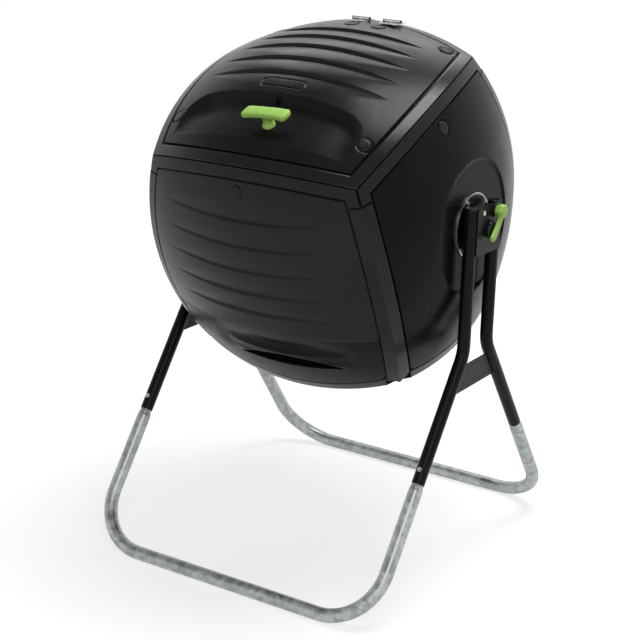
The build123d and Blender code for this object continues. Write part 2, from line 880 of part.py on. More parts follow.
screw_turns = [119, 239, 359]


def disc(side, name):
    seat = outward(side, pad_reach)
    with BuildPart() as plate:
        with BuildSketch(seat):
            Circle(disc_radius)
            Circle(axle / 2 + axle_hole_gap, mode=Mode.SUBTRACT)
            with PolarLocations(disc_screw_ring, 3, start_angle=screw_turns[0]):
                Circle(disc_screw / 2 + fit_gap, mode=Mode.SUBTRACT)
            if side > 0:
                with PolarLocations(
                    sqrt(lock_y**2 + lock_z**2),
                    lock_hole_count,
                    start_angle=degrees(atan2(lock_z, lock_y)),
                ):
                    Circle(lock_hole, mode=Mode.SUBTRACT)
        extrude(amount=disc_wall)
    save(plate.part, name)


disc(1, "index_disc")
disc(-1, "hub_disc")

with BuildPart() as disc_screws:
    for side in (-1, 1):
        seat = outward(side, pad_reach + disc_wall + plate_gap)
        with BuildSketch(seat):
            with PolarLocations(disc_screw_ring, 3, start_angle=screw_turns[0]):
                Circle(disc_screw * 0.9)
        extrude(amount=1.8)
        with BuildSketch(seat):
            with PolarLocations(disc_screw_ring, 3, start_angle=screw_turns[0]):
                Circle(disc_screw / 2)
        extrude(amount=-disc_wall)
save(disc_screws.part, "disc_screws")

# Lock: collar, lever and pin, drawn with the pin clear of the disc
lock = Plane(origin=outward(1, 0).from_local_coords((lock_y, lock_z, 0)), x_dir=(0, 1, 0), z_dir=(1, 0, 0))
collar_seat = bracket_outer + plate_gap
pin_tip = pad_reach + lock_travel + fit_gap
neck_end = collar_seat + collar_wall + neck_length

with BuildPart() as lock_collar:
    with Locations(lock.offset(collar_seat)):
        Cylinder(collar_radius, collar_wall, align=on_top)
        Cylinder(neck_radius, collar_wall + neck_length, align=on_top)
        Cylinder(lock_pin + running_gap, 2 * neck_length + collar_wall, align=on_top, mode=Mode.SUBTRACT)
save(lock_collar.part, "lock_collar")

with BuildPart() as lock_rod:
    with Locations(lock.offset(pin_tip)):
        Cylinder(lock_pin, neck_end - 0.5 - pin_tip, align=on_top)
    chamfer(lock_rod.edges().group_by(Axis.X)[0], 1)
save(lock_rod.part, "lock_pin")

lever_base = collar_seat + collar_wall + lever_gap
lever_face = neck_end + lever_gap + lever_cap
arm_way = Vector(-35, -48, 0).normalized()
with BuildPart() as lock_lever:
    with BuildSketch(lock.offset(lever_base)):
        RegularPolygon(lever_hub, 6, rotation=10)
    extrude(amount=lever_face - lever_base)
    arm_plane = Plane(
        origin=lock.offset(lever_face).origin,
        x_dir=lock.x_dir * arm_way.X + lock.y_dir * arm_way.Y,
        z_dir=lock.z_dir,
    )
    with BuildSketch(arm_plane):
        with Locations((lever_reach / 2, 0)):
            SlotOverall(lever_reach + lever_width, lever_width)
    extrude(amount=-lever_wall / 2)
    with BuildSketch(arm_plane):
        with Locations((lever_reach / 2, 0)):
            SlotOverall(lever_reach + lever_width, lever_width)
    extrude(amount=lever_wall / 2)
    fillet(lock_lever.edges().group_by(Axis.X)[-1], 2.5)
    with Locations(lock.offset(lever_base)):
        Cylinder(
            neck_radius + running_gap,
            neck_end + lever_gap - lever_base,
            align=on_top,
            mode=Mode.SUBTRACT,
        )
save(lock_lever.part, "lock_lever")
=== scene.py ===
import bpy
import bmesh
import json
import math
import numpy as np
from mathutils import Matrix, Quaternion, Vector


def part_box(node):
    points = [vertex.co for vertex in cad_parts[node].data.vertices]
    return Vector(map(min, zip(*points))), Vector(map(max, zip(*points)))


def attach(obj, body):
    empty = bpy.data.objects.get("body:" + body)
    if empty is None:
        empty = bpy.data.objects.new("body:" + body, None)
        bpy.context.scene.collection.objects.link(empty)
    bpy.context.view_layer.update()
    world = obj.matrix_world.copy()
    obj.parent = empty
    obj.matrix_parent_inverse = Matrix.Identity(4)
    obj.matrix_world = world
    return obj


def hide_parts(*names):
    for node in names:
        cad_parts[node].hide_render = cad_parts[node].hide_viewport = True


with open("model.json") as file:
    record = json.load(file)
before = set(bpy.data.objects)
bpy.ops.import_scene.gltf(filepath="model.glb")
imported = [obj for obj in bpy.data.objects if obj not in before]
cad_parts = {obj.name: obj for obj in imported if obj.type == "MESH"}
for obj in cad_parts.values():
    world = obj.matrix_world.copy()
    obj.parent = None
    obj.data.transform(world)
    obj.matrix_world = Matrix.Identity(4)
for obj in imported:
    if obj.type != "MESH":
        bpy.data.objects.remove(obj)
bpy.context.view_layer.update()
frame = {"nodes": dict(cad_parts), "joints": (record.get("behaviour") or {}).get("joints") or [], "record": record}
cad = frame["nodes"]
joints = {joint["name"]: joint for joint in frame["joints"]}
rootTwo = math.sqrt(2)
print("frame loaded,", len(cad), "nodes")


# node helpers: a texture tree starts from the piece's own coordinates, in metres

def newMaterial(name, **sockets):
    mat = bpy.data.materials.new(name)
    mat.use_nodes = True
    shader = mat.node_tree.nodes["Principled BSDF"]
    for socket, value in sockets.items():
        shader.inputs[socket.replace("_", " ")].default_value = value
    return mat, mat.node_tree, shader


def ownCoords(tree, stretch=(1, 1, 1)):
    coord = tree.nodes.new("ShaderNodeTexCoord")
    mapping = tree.nodes.new("ShaderNodeMapping")
    mapping.inputs["Scale"].default_value = stretch
    tree.links.new(coord.outputs["Object"], mapping.inputs["Vector"])
    return mapping.outputs["Vector"]


def noiseAt(tree, vector, scale, detail=3.0, rough=0.55):
    noise = tree.nodes.new("ShaderNodeTexNoise")
    noise.inputs["Scale"].default_value = scale
    noise.inputs["Detail"].default_value = detail
    noise.inputs["Roughness"].default_value = rough
    tree.links.new(vector, noise.inputs["Vector"])
    return noise.outputs["Fac"]


def rampOf(tree, fac, stops):
    ramp = tree.nodes.new("ShaderNodeValToRGB")
    elements = ramp.color_ramp.elements
    while len(elements) < len(stops):
        elements.new(0.5)
    for element, (place, colour) in zip(elements, stops):
        element.position = place
        element.color = (*colour, 1)
    tree.links.new(fac, ramp.inputs["Fac"])
    return ramp.outputs["Color"]


# stretches the middle of a noise, where most of it lies, over a range
def spread(tree, fac, low, high):
    remap = tree.nodes.new("ShaderNodeMapRange")
    ends = {"From Min": 0.3, "From Max": 0.7, "To Min": low, "To Max": high}
    for socket, value in ends.items():
        remap.inputs[socket].default_value = value
    tree.links.new(fac, remap.inputs["Value"])
    return remap.outputs["Result"]


def bumpFrom(tree, height, strength, distance, under=None):
    bump = tree.nodes.new("ShaderNodeBump")
    bump.inputs["Strength"].default_value = strength
    bump.inputs["Distance"].default_value = distance
    tree.links.new(height, bump.inputs["Height"])
    if under is not None:
        tree.links.new(under, bump.inputs["Normal"])
    return bump.outputs["Normal"]


def wire(tree, shader, links):
    for socket, output in links.items():
        tree.links.new(output, shader.inputs[socket])


def lengthOf(tree, vector):
    away = tree.nodes.new("ShaderNodeVectorMath")
    away.operation = "LENGTH"
    tree.links.new(vector, away.inputs[0])
    return away.outputs["Value"]


# finishes: cloud and wear are noises (scale, detail), gloss is a roughness range,
# bumps are noises with their strength and depth

charcoal = {
    "tints": [(0.35, (0.0046, 0.0049, 0.0047)), (0.68, (0.0078, 0.0082, 0.0078))],
    "cloud": (9, 4),
    "wear": (23, 5),
    "gloss": (0.23, 0.31),
    "bumps": [(26, 2, 0.22, 0.0012), (1100, 2, 0.18, 0.00012)],    # ripple, then grain
}
powder = {
    "tints": [(0.35, (0.0035, 0.0035, 0.0038)), (0.7, (0.0065, 0.0065, 0.007))],
    "cloud": (40, 3),
    "wear": (70, 3),
    "gloss": (0.28, 0.38),
    "bumps": [(620, 2, 0.25, 0.00018)],
}
zinc = {
    "tints": [(0.3, (0.52, 0.53, 0.52)), (0.7, (0.74, 0.74, 0.72))],
    "cloud": (130, 4),
    "wear": (300, 3),
    "gloss": (0.18, 0.32),
    "bumps": [(700, 2, 0.12, 0.00015)],
}
darkSteel = dict(zinc, tints=[(0.3, (0.03, 0.03, 0.03)), (0.7, (0.07, 0.07, 0.07))], gloss=(0.3, 0.42))
lime = {
    "tints": [(0.3, (0.34, 0.60, 0.115)), (0.7, (0.41, 0.68, 0.155))],
    "cloud": (45, 3),
    "wear": (180, 3),
    "gloss": (0.30, 0.40),
    "bumps": [(900, 2, 0.12, 0.0001)],
}


def mottled(name, look, tintFrom=None, **sockets):
    mat, tree, shader = newMaterial(name, **sockets)
    place = ownCoords(tree)
    cause = tintFrom(tree, place) if tintFrom else noiseAt(tree, place, *look["cloud"])
    links = {
        "Base Color": rampOf(tree, cause, look["tints"]),
        "Roughness": spread(tree, noiseAt(tree, place, *look["wear"]), *look["gloss"]),
    }
    for scale, detail, strength, depth in look["bumps"]:
        height = noiseAt(tree, place, scale, detail)
        links["Normal"] = bumpFrom(tree, height, strength, depth, links.get("Normal"))
    wire(tree, shader, links)
    return mat


def charcoalPlastic(name, specular, shift=0.0):
    look = dict(charcoal, gloss=[rough + shift for rough in charcoal["gloss"]])
    return mottled(name, look, Specular_IOR_Level=specular)


galvanised = {
    "tints": [(0.28, (0.28, 0.305, 0.29)), (0.72, (0.50, 0.535, 0.51))],
    "spangleScale": 95,
    "cloud": (60, 6, 0.65),
    "cloudStretch": (1, 0.35, 0.35),
    "cloudShare": 0.6,
    "gloss": (0.34, 0.52),
    "bump": (0.15, 0.0004),
}


def galvanisedSteel():
    mat, tree, shader = newMaterial("galvanisedSteel", Metallic=0.9)
    spangle = tree.nodes.new("ShaderNodeTexVoronoi")
    spangle.inputs["Scale"].default_value = galvanised["spangleScale"]
    tree.links.new(ownCoords(tree), spangle.inputs["Vector"])
    cells = tree.nodes.new("ShaderNodeSeparateColor")
    tree.links.new(spangle.outputs["Color"], cells.inputs["Color"])
    cloud = noiseAt(tree, ownCoords(tree, galvanised["cloudStretch"]), *galvanised["cloud"])
    both = tree.nodes.new("ShaderNodeMix")
    both.inputs["Factor"].default_value = galvanised["cloudShare"]
    tree.links.new(cells.outputs["Red"], both.inputs["A"])
    tree.links.new(cloud, both.inputs["B"])
    wire(tree, shader, {
        "Base Color": rampOf(tree, both.outputs["Result"], galvanised["tints"]),
        "Roughness": spread(tree, both.outputs["Result"], *galvanised["gloss"]),
        "Normal": bumpFrom(tree, cloud, *galvanised["bump"]),
    })
    return mat


# the discs are dark inside their bright turned rims: tints by the distance from the axle
rim = {
    "axleHeight": 0.721,
    "tints": [(0.0639, (0.035, 0.036, 0.036)), (0.0651, (0.80, 0.80, 0.78))],
    "wear": (160, 3),
    "gloss": (0.26, 0.36),
    "bumps": [(500, 2, 0.1, 0.00012)],
}


def fromAxle(tree, place):
    flat = tree.nodes.new("ShaderNodeMapping")
    flat.inputs["Location"].default_value = (0, 0, -rim["axleHeight"])
    flat.inputs["Scale"].default_value = (0, 1, 1)
    tree.links.new(place, flat.inputs["Vector"])
    return lengthOf(tree, flat.outputs["Vector"])


finish = {
    "charcoal_plastic": charcoalPlastic("charcoalPlastic", 0.20),
    "black_fittings": charcoalPlastic("blackFittings", 0.20, -0.04),
    "black_powder_coat": mottled("blackPowderCoat", powder, Specular_IOR_Level=0.11),
    "galvanised_steel": galvanisedSteel(),
    "zinc_plate": mottled("zincPlate", zinc, Metallic=1.0),
    "dark_steel": mottled("darkSteel", darkSteel, Metallic=1.0),
    "green_plastic": mottled(
        "limePlastic", lime, Specular_IOR_Level=0.2,
        Subsurface_Weight=0.06, Subsurface_Radius=(0.004, 0.006, 0.001), Subsurface_Scale=0.5,
    ),
}
# copies of the one charcoal plastic that differ only in reflection strength and roughness, as painted light and
# shade; the lid's copy reflects a little less
lidPlastic = charcoalPlastic("lidPlastic", 0.17)
rimHighlightPlastic = charcoalPlastic("rimHighlightPlastic", 0.30, -0.05)     # copy with stronger reflection and less roughness: painted highlight on the door frame
endShadedPlastic = charcoalPlastic("endShadedPlastic", 0.065)           # copy with weaker reflection: painted shade on the two ends
gripShadedPlastic = charcoalPlastic("gripShadedPlastic", 0.09, 0.06)    # rougher copy with weaker reflection: painted shade in the pocket, the recess and on the back plugs
discPlate = mottled("rimmedPlate", rim, fromAxle, Metallic=1.0)
print("finishes made:", len(finish))

slotOf = {entry["node"]: entry["material_slot"] for entry in frame["record"]["subparts"]}
for nodeName, obj in cad.items():
    obj.data.materials.clear()
    obj.data.materials.append(finish[slotOf[nodeName]])
for nodeName in ("index_disc", "hub_disc"):
    cad[nodeName].data.materials[0] = discPlate
cad["lock_collar"].data.materials[0] = finish["dark_steel"]


# meshes

def addPiece(name, verts, faces, body, slotName, replaced=(), sharpDeg=40, look=None):
    mesh = bpy.data.meshes.new(name)
    mesh.from_pydata([tuple(v) for v in verts], [], [tuple(f) for f in faces])
    work = bmesh.new()
    work.from_mesh(mesh)
    bmesh.ops.remove_doubles(work, verts=work.verts, dist=1e-6)
    bmesh.ops.recalc_face_normals(work, faces=work.faces)
    work.to_mesh(mesh)
    work.free()
    mesh.shade_smooth()
    mesh.set_sharp_from_angle(angle=math.radians(sharpDeg))
    obj = bpy.data.objects.new(name, mesh)
    bpy.context.scene.collection.objects.link(obj)
    mesh.materials.append(look or finish[slotName])
    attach(obj, body)
    if replaced:
        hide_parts(*replaced)
    return obj


# a closed skin from two matching grids of points, the outside and the inside
def gridSolid(outer, inner, loop=False):
    rows, cols = outer.shape[:2]
    verts = np.concatenate([outer.reshape(-1, 3), inner.reshape(-1, 3)])
    count = rows * cols
    index = np.arange(count).reshape(rows, cols)
    follow = np.roll(index, -1, axis=0) if loop else index[1:]
    start = index if loop else index[:-1]
    quads = np.stack([start[:, :-1], follow[:, :-1], follow[:, 1:], start[:, 1:]], -1).reshape(-1, 4)
    faces = [quads, quads[:, ::-1] + count]
    for side, turn in ((0, 1), (-1, -1)):
        here, there = start[:, side], follow[:, side]
        skirt = np.stack([here, there, there + count, here + count], -1)
        faces.append(skirt[:, ::turn])
    if not loop:
        for end, turn in ((0, -1), (-1, 1)):
            row = index[end]
            skirt = np.stack([row[:-1], row[1:], row[1:] + count, row[:-1] + count], -1)
            faces.append(skirt[:, ::turn])
    return verts, np.concatenate(faces).tolist()


# several shapes in one
def joined(*shapes):
    verts, faces = [], []
    for newVerts, newFaces in shapes:
        faces += [tuple(i + len(verts) for i in face) for face in newFaces]
        verts += list(newVerts)
    return verts, faces


# faces round a stack of rings, with both ends closed
def ringFaces(rings, around):
    faces = []
    for n in range(rings - 1):
        a, b = n * around, (n + 1) * around
        for m in range(around):
            after = (m + 1) % around
            faces.append((a + m, a + after, b + after, b + m))
    last = (rings - 1) * around
    return faces + [tuple(range(around - 1, -1, -1)), tuple(range(last, last + around))]


# turned shapes: radius and height pairs about an axis
def turned(profile, origin, along, segments=48, start=(1, 0, 0)):
    along = Vector(along).normalized()
    first = Vector(start)
    first = (first - along * first.dot(along)).normalized()
    second = along.cross(first)
    verts = []
    for radius, height in profile:
        for step in range(segments):
            angle = 2 * math.pi * step / segments
            outward = first * math.cos(angle) + second * math.sin(angle)
            verts.append(Vector(origin) + along * height + outward * radius)
    return verts, ringFaces(len(profile), segments)


# places from -1 to 1 along a bar, closer at its ends, and how full the bar is there
def barPlaces(shape):
    for n in range(shape["rings"]):
        t = math.sin((-1 + 2 * n / (shape["rings"] - 1)) * math.pi / 2)
        tail = max(0.0, abs(t) - shape["endStart"]) / (1 - shape["endStart"])
        yield t, math.sqrt(max(0.0, 1 - tail**2)) * (1 - shape["endLeast"]) + shape["endLeast"]


# points round a section between an ellipse and a rectangle
def softSection(shape, width, height):
    for m in range(shape["around"]):
        angle = 2 * math.pi * m / shape["around"]
        c, s = math.cos(angle), math.sin(angle)
        wide = math.copysign(abs(c) ** shape["squareness"], c) * width / 2
        yield wide, math.copysign(abs(s) ** shape["squareness"], s) * height / 2


# drum faces: six domes that meet in the same corners

drum = {
    "leanDeg": 24.37,
    "faceReach": 0.334,
    "endReach": 0.331,
    "corner": 0.233,
    "stripWidth": 0.023,
    "stripWall": 0.005,
    "foldInset": 0.002,            # last grid line before a strip's fold
    "railAside": 0.2,              # bottom rails take their length near the corners
    "seam": 0.003,
    "tabLine": 0.202,
    "mitre": 0.00015,
    "railGap": 0.0020,             # open seam round the door frame
    "rimRound": 0.0046,            # the frame's edge towards the lid
    "panelWall": 0.008,
    "doorWall": 0.012,
    "frameWidth": 0.024,
    "lidGap": 0.003,
    "ledgeWidth": 0.012,
    "ledgeDepth": 0.006,
    "ledgeGap": 0.00005,
    "edgeRound": 0.0016,
    "flangeDepth": 0.0053,         # panels go on under the strips at this depth
    "flangeInset": 0.0003,
    "squeezeBand": 0.012,          # grid lines bend to the border from here on
    "reliefFade": 0.004,           # relief runs out towards the border, on the skin and on its back
    "backFade": 0.010,
}
fieldInset = drum["stripWidth"] + drum["seam"]
axleLow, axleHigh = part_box("axle")
drumMiddle = np.array((axleLow + axleHigh) / 2)
lean = math.radians(drum["leanDeg"])
acrossDir = np.array([1.0, 0.0, 0.0])
backDir = np.array([0.0, math.cos(lean), math.sin(lean)])
upDir = np.array([0.0, -math.sin(lean), math.cos(lean)])
faceAxes = {
    "top": (acrossDir, backDir, upDir),
    "front": (acrossDir, upDir, -backDir),
    "right": (backDir, upDir, acrossDir),
    "back": (-acrossDir, upDir, backDir),
    "left": (-backDir, upDir, -acrossDir),
    "bottom": (acrossDir, -backDir, -upDir),
}
sideFaces = ["front", "right", "back", "left"]


def reachOf(face):
    return drum["endReach"] if face in ("left", "right") else drum["faceReach"]


def domeRadius(face):
    rise = reachOf(face) - drum["corner"]
    return (2 * drum["corner"] ** 2 + rise**2) / (2 * rise)


def domeBase(face):
    return reachOf(face) - domeRadius(face)


def domeHeight(face, x, y):
    return domeBase(face) + np.sqrt(domeRadius(face) ** 2 - x**2 - y**2)


def toWorld(face, x, y, z):
    across, along, out = faceAxes[face]
    x, y, z = np.broadcast_arrays(x, y, z)
    return drumMiddle + x[..., None] * across + y[..., None] * along + z[..., None] * out


def pointsToWorld(face, points):
    return toWorld(face, *np.moveaxis(points, -1, 0))


# where the border plane of an inset crosses the dome, at a distance from the middle line
def borderAt(face, inset, aside):
    step = inset * rootTwo - domeBase(face)
    return (np.sqrt(2 * (domeRadius(face) ** 2 - aside**2) - step**2) - step) / 2


# a point of the dome seen from the apex of an inset's border planes
def rayPoint(face, inset, a, b):
    lift = inset * rootTwo
    step = lift - domeBase(face)
    square = a**2 + b**2 + 1
    q = (-step + np.sqrt(step**2 - square * (step**2 - domeRadius(face) ** 2))) / square
    return np.stack(np.broadcast_arrays(a * q, b * q, q + lift), -1)


# moves points of a face inwards along the rays to that apex, so that borders stay in their planes
def sinkAlongRay(face, points, inset, depth):
    lift = np.asarray(inset) * rootTwo
    ray = points - np.stack(np.broadcast_arrays(0.0 * lift, 0.0 * lift, lift), -1)
    ray = ray / np.linalg.norm(ray, axis=-1, keepdims=True)
    normal = points - np.array([0, 0, domeBase(face)])
    normal = normal / np.linalg.norm(normal, axis=-1, keepdims=True)
    slope = np.sum(ray * normal, axis=-1)
    return points - ray * (np.asarray(depth) / slope)[..., None]


def roundOff(distance, radius):
    near = np.clip(distance, 0, radius)
    return radius - np.sqrt(radius**2 - (radius - near) ** 2)


def smooth(value):
    value = np.clip(value, 0, 1)
    return value * value * (3 - 2 * value)


edgeSteps = [0, 0.0002, 0.0005, 0.001, 0.0017, 0.003]
edgeBand = 0.004
leastStep = 0.00015
settleRounds = 14


# grid lines from edge to edge: coarse, with finer windows (from, to, step)
def gridLines(half, step, windows=()):
    windows = mergeWindows(windows)
    lines = [v for v in np.arange(-half, half, step) if not any(a <= v <= b for a, b, _ in windows)]
    for low, high, fine in windows:
        lines += list(np.arange(low, high, fine))
    lines = sorted(v for v in lines if abs(v) < half - edgeBand)
    lines = [-half + e for e in edgeSteps] + lines + [half - e for e in reversed(edgeSteps)]
    kept = [lines[0]]
    for v in lines[1:]:
        if v - kept[-1] > leastStep:
            kept.append(v)
    return np.array(kept)


def mergeWindows(windows):
    merged = []
    for low, high, fine in sorted(windows):
        if merged and low <= merged[-1][1]:
            merged[-1] = (merged[-1][0], max(high, merged[-1][1]), min(fine, merged[-1][2]))
        else:
            merged.append((low, high, fine))
    return merged


# a bulging panel: lower(x, y) sinks its skin, inside(x, y) its back, cut(x, y) notches its border
def domePanel(face, inset, wall, cols, rows, lower, inside=None, flange=True, cut=None):
    half = borderAt(face, inset, 0.0)
    keep = borderAt(face, inset, drum["corner"] - inset) - drum["squeezeBand"]
    insets = [np.full(len(cols), inset), np.full(len(rows), inset)]
    if flange:
        # twice more at each end: down the edge, then out under the strip
        cols, rows = np.pad(cols, 2, "edge"), np.pad(rows, 2, "edge")
        insets = [np.pad(line, 1, "edge") for line in insets]
        insets = [np.pad(line, 1, constant_values=drum["flangeInset"]) for line in insets]
    colGrid, rowGrid = np.meshgrid(cols, rows)
    colInset, rowInset = np.meshgrid(*insets)

    def squeeze(nominal, border):
        share = (np.abs(nominal) - keep) / (half - keep)
        bent = np.sign(nominal) * (keep + share * (border - keep))
        return np.where(np.abs(nominal) <= keep, nominal, bent)

    x, y = colGrid.copy(), rowGrid.copy()
    for _ in range(settleRounds):
        x, y = squeeze(colGrid, borderAt(face, colInset, y)), squeeze(rowGrid, borderAt(face, rowInset, x))
    z = domeHeight(face, x, y)
    lift = inset * rootTwo
    edge = np.minimum(z - lift - np.abs(x), z - lift - np.abs(y)) / rootTwo
    skin = np.stack([x, y, z], -1)
    reach = np.minimum(colInset, rowInset)
    depth = roundOff(edge, drum["edgeRound"])
    if flange:
        border = np.ones(x.shape, bool)
        border[2:-2, 2:-2] = False
        depth = np.where(border, drum["flangeDepth"], depth)
    if cut is not None:
        depth = np.maximum(depth, cut(x, y))
    outer = sinkAlongRay(face, skin, reach, depth)
    outer[..., 2] -= lower(x, y) * smooth(edge / drum["reliefFade"])
    inner = sinkAlongRay(face, skin, reach, np.full(x.shape, wall))
    if inside is not None:
        inner[..., 2] -= inside(x, y) * smooth(edge / drum["backFade"])
    return gridSolid(pointsToWorld(face, outer), pointsToWorld(face, inner))


# faces that take the grip copy with weaker reflection as painted shade, picked by their place on the drum's face
def shadedPatch(shell, face, picked):
    shell.data.materials.append(gripShadedPlastic)
    for polygon in shell.data.polygons:
        away = np.array(polygon.center) - drumMiddle
        x, y = (np.dot(away, axis) for axis in faceAxes[face][:2])
        polygon.material_index = int(picked(x, y))


# lap lines: a small riser and a tread that runs out from its foot, up the panel or down it
def lapDepth(x, y, shape, way):
    total = np.zeros_like(x)
    for place, half in shape["laps"]:
        along = way * (y - place)
        tread = np.clip(1 - along / shape["lapRun"], 0, 1) ** shape["lapCurve"]
        amount = np.clip(tread - np.abs(x / half) ** shape["lapTaper"], 0, None)
        foot = smooth(along / shape["riser"] + 0.5)
        total = np.maximum(total, shape["lapDepth"] * amount * foot)
    return total


def lapWindows(shape):
    below, above, fine = shape["lapWindow"]
    return [(place - below, place + above, fine) for place, _ in shape["laps"]]


# round plugs sit in a shallow moat
plug = {
    "radius": 0.0132,
    "gap": 0.0009,
    "seat": 0.0032,
    "seatRun": 0.0008,
    "moat": 0.0172,
    "moatDepth": 0.0011,
    "moatRun": 0.0012,
    "window": (0.019, 0.0011),
    "profile": [
        (0.0005, 0.0009), (0.00792, 0.0008), (0.0112, 0.0006), (0.0124, 0.0003),
        (0.0130, -0.0004), (0.0132, -0.0011), (0.0132, -0.0036),
    ],
    "side": (0.0, 0.224),          # place on each side panel
}


def plugSeat(x, y, spots):
    total = np.zeros_like(x)
    for px, py in spots:
        away = np.hypot(x - px, y - py)
        moat = plug["moatDepth"] * smooth((plug["moat"] - away) / plug["moatRun"])
        inSeat = smooth((plug["radius"] + plug["gap"] - away) / plug["seatRun"])
        total = np.maximum(total, moat + (plug["seat"] - plug["moatDepth"]) * inSeat)
    return total


def plugWindows(spots, axis):
    half, fine = plug["window"]
    return [(spot[axis] - half, spot[axis] + half, fine) for spot in spots]


def plugPieces(name, places, body, replaced):
    shapes = []
    for face, x, y in places:
        spot = toWorld(face, np.float64(x), np.float64(y), domeHeight(face, x, y))
        out = spot - toWorld(face, np.float64(0), np.float64(0), domeBase(face))
        shapes.append(turned(plug["profile"], spot, out))
    return addPiece(name, *joined(*shapes), body, "charcoal_plastic", replaced)


# lid

lid = {
    "laps": [(0.160, 0.175), (0.112, 0.187), (0.064, 0.197), (0.012, 0.207), (-0.038, 0.207)],
    "lapDepth": 0.0054,
    "lapRun": 0.046,
    "lapCurve": 1.5,
    "lapTaper": 3.2,
    "riser": 0.0034,
    "lapWindow": (0.006, 0.004, 0.0008),
    "plugs": [
        (-0.212, -0.152), (0.212, -0.152), (-0.198, 0.196),
        (0.198, 0.196), (-0.016, 0.202), (0.046, 0.202),
    ],
    "pocket": {
        "start": -0.211, "end": -0.099, "half": 0.205, "depth": 0.0255, "arch": 0.006, "runOut": 0.03,
        "wallRun": 0.046, "sideRun": 0.058, "sweep": 3.8, "splay": 0.08, "soft": 0.0016,
    },
    "mark": (0.0, -0.225),         # flush round mark in front of the pocket
    "markShare": 0.12,             # as deep as this share of a plug's seat
    "oval": {                      # left bare
        "x": -0.002, "y": -0.072, "half": 0.050, "tall": 0.0125, "groove": 0.0028, "depth": 0.0016,
    },
    "slot": {
        "x": 0.006, "half": 0.0052, "back": -0.1035, "front": -0.1150, "depth": 0.012, "soft": 0.0015,
    },
    "floorWall": 0.010,
    "rimGap": 0.0005,              # above the ledge
    "plugGap": 0.001,              # from the ledge to the part of the lid that goes deeper
    "plugRun": 0.003,
    "plugFade": 0.006,
    "shadeFrom": 0.0012,            # the pocket takes the painted shade where it is deeper than this
    "grid": (0.006, 0.005),
    "fineCols": [
        (-0.200, -0.150, 0.0013), (0.150, 0.200, 0.0013), (-0.064, -0.004, 0.002),
        (-0.004, 0.012, 0.001), (0.012, 0.056, 0.002),
    ],
    "fineRows": [
        (-0.152, -0.114, 0.0017), (-0.114, -0.092, 0.0009), (-0.091, -0.052, 0.0011),
        (-0.216, -0.206, 0.0012),
    ],
}


# scooped pocket: the dome tipped inwards about its run-out line
def pocketDepth(x, y):
    pocket = lid["pocket"]
    start, radius = pocket["start"], domeRadius("top")
    tip = math.atan(pocket["depth"] / (pocket["end"] - start))
    rise = math.sqrt(radius**2 - start**2)
    middle = start - start * math.cos(tip) - rise * math.sin(tip)
    base = domeBase("top") + rise + start * math.sin(tip) - rise * math.cos(tip)
    sunk = domeHeight("top", x, y) - base - np.sqrt(radius**2 - x**2 - (y - middle) ** 2)
    sunk = (sunk + np.sqrt(sunk**2 + pocket["soft"] ** 2) - pocket["soft"]) / 2
    sunk = np.where(y - start < -pocket["runOut"], 0, np.clip(sunk, 0, None))
    far = pocket["end"] - pocket["arch"] * (x / pocket["half"]) ** 2
    half = pocket["half"] + pocket["splay"] * (y - pocket["end"])
    fromSide = np.clip((half - np.abs(x)) / pocket["sideRun"], 0, 1)
    fromWall = np.clip((far - y) / pocket["wallRun"], 0, 1)
    # crisp rim with round corners, soft foot
    return sunk * (1 - np.clip(np.hypot(1 - fromSide, 1 - fromWall), 0, 1) ** pocket["sweep"])


def ovalGroove(x, y):
    oval = lid["oval"]
    straight = np.clip(np.abs(x - oval["x"]) - oval["half"] + oval["tall"], 0, None)
    away = np.hypot(straight, y - oval["y"]) - oval["tall"]
    return oval["depth"] * smooth(1 - np.abs(away) / oval["groove"])


def lidLower(x, y):
    slot = lid["slot"]
    inSlot = 1.0
    for within in (slot["half"] - np.abs(x - slot["x"]), slot["back"] - y, y - slot["front"]):
        inSlot = inSlot * smooth(within / slot["soft"] + 0.5)
    sunk = pocketDepth(x, y) + slot["depth"] * inSlot + plugSeat(x, y, [lid["mark"]]) * lid["markShare"]
    sunk = np.maximum(sunk, lapDepth(x, y, lid, -1))
    return np.maximum(sunk, plugSeat(x, y, lid["plugs"])) + ovalGroove(x, y)


# how far the lid's back stands below its thin rim
def lidInside(x, y):
    edge = (domeHeight("top", x, y) - np.maximum(np.abs(x), np.abs(y))) / rootTwo
    within = edge - drum["frameWidth"] - drum["ledgeWidth"] - lid["plugGap"]
    step = (drum["doorWall"] - drum["ledgeDepth"] + lid["rimGap"]) * smooth(within / lid["plugRun"])
    underPocket = np.clip(pocketDepth(x, y) + lid["floorWall"] - drum["doorWall"], 0, None)
    return step + underPocket * smooth(within / lid["plugFade"])


def makeLid():
    inset = drum["frameWidth"] + drum["lidGap"]
    half = borderAt("top", inset, 0.0)
    colStep, rowStep = lid["grid"]
    cols = gridLines(half, colStep, plugWindows(lid["plugs"], 0) + lid["fineCols"])
    rows = gridLines(half, rowStep, lapWindows(lid) + plugWindows(lid["plugs"], 1) + lid["fineRows"])
    # the rim is thin where it lies on the ledge, the rest of the lid goes deeper
    rimWall = drum["ledgeDepth"] - lid["rimGap"]
    verts, faces = domePanel("top", inset, rimWall, cols, rows, lidLower, lidInside, flange=False)
    shell = addPiece("lidShell", verts, faces, "lid", "charcoal_plastic", ["lid_panel"], look=lidPlastic)
    # painted shade: the deeper part of the pocket takes the copy with weaker reflection
    shadedPatch(shell, "top", lambda x, y: pocketDepth(x, y) > lid["shadeFrom"])
    plugs = plugPieces("lidRoundPlugs", [("top", x, y) for x, y in lid["plugs"]], "lid", ["lid_plugs"])
    shadedPatch(plugs, "top", lambda x, y: y > 0)    # the ones along the back take the painted shade too
    print("lid made:", len(verts), "points")


makeLid()


# front and back panels

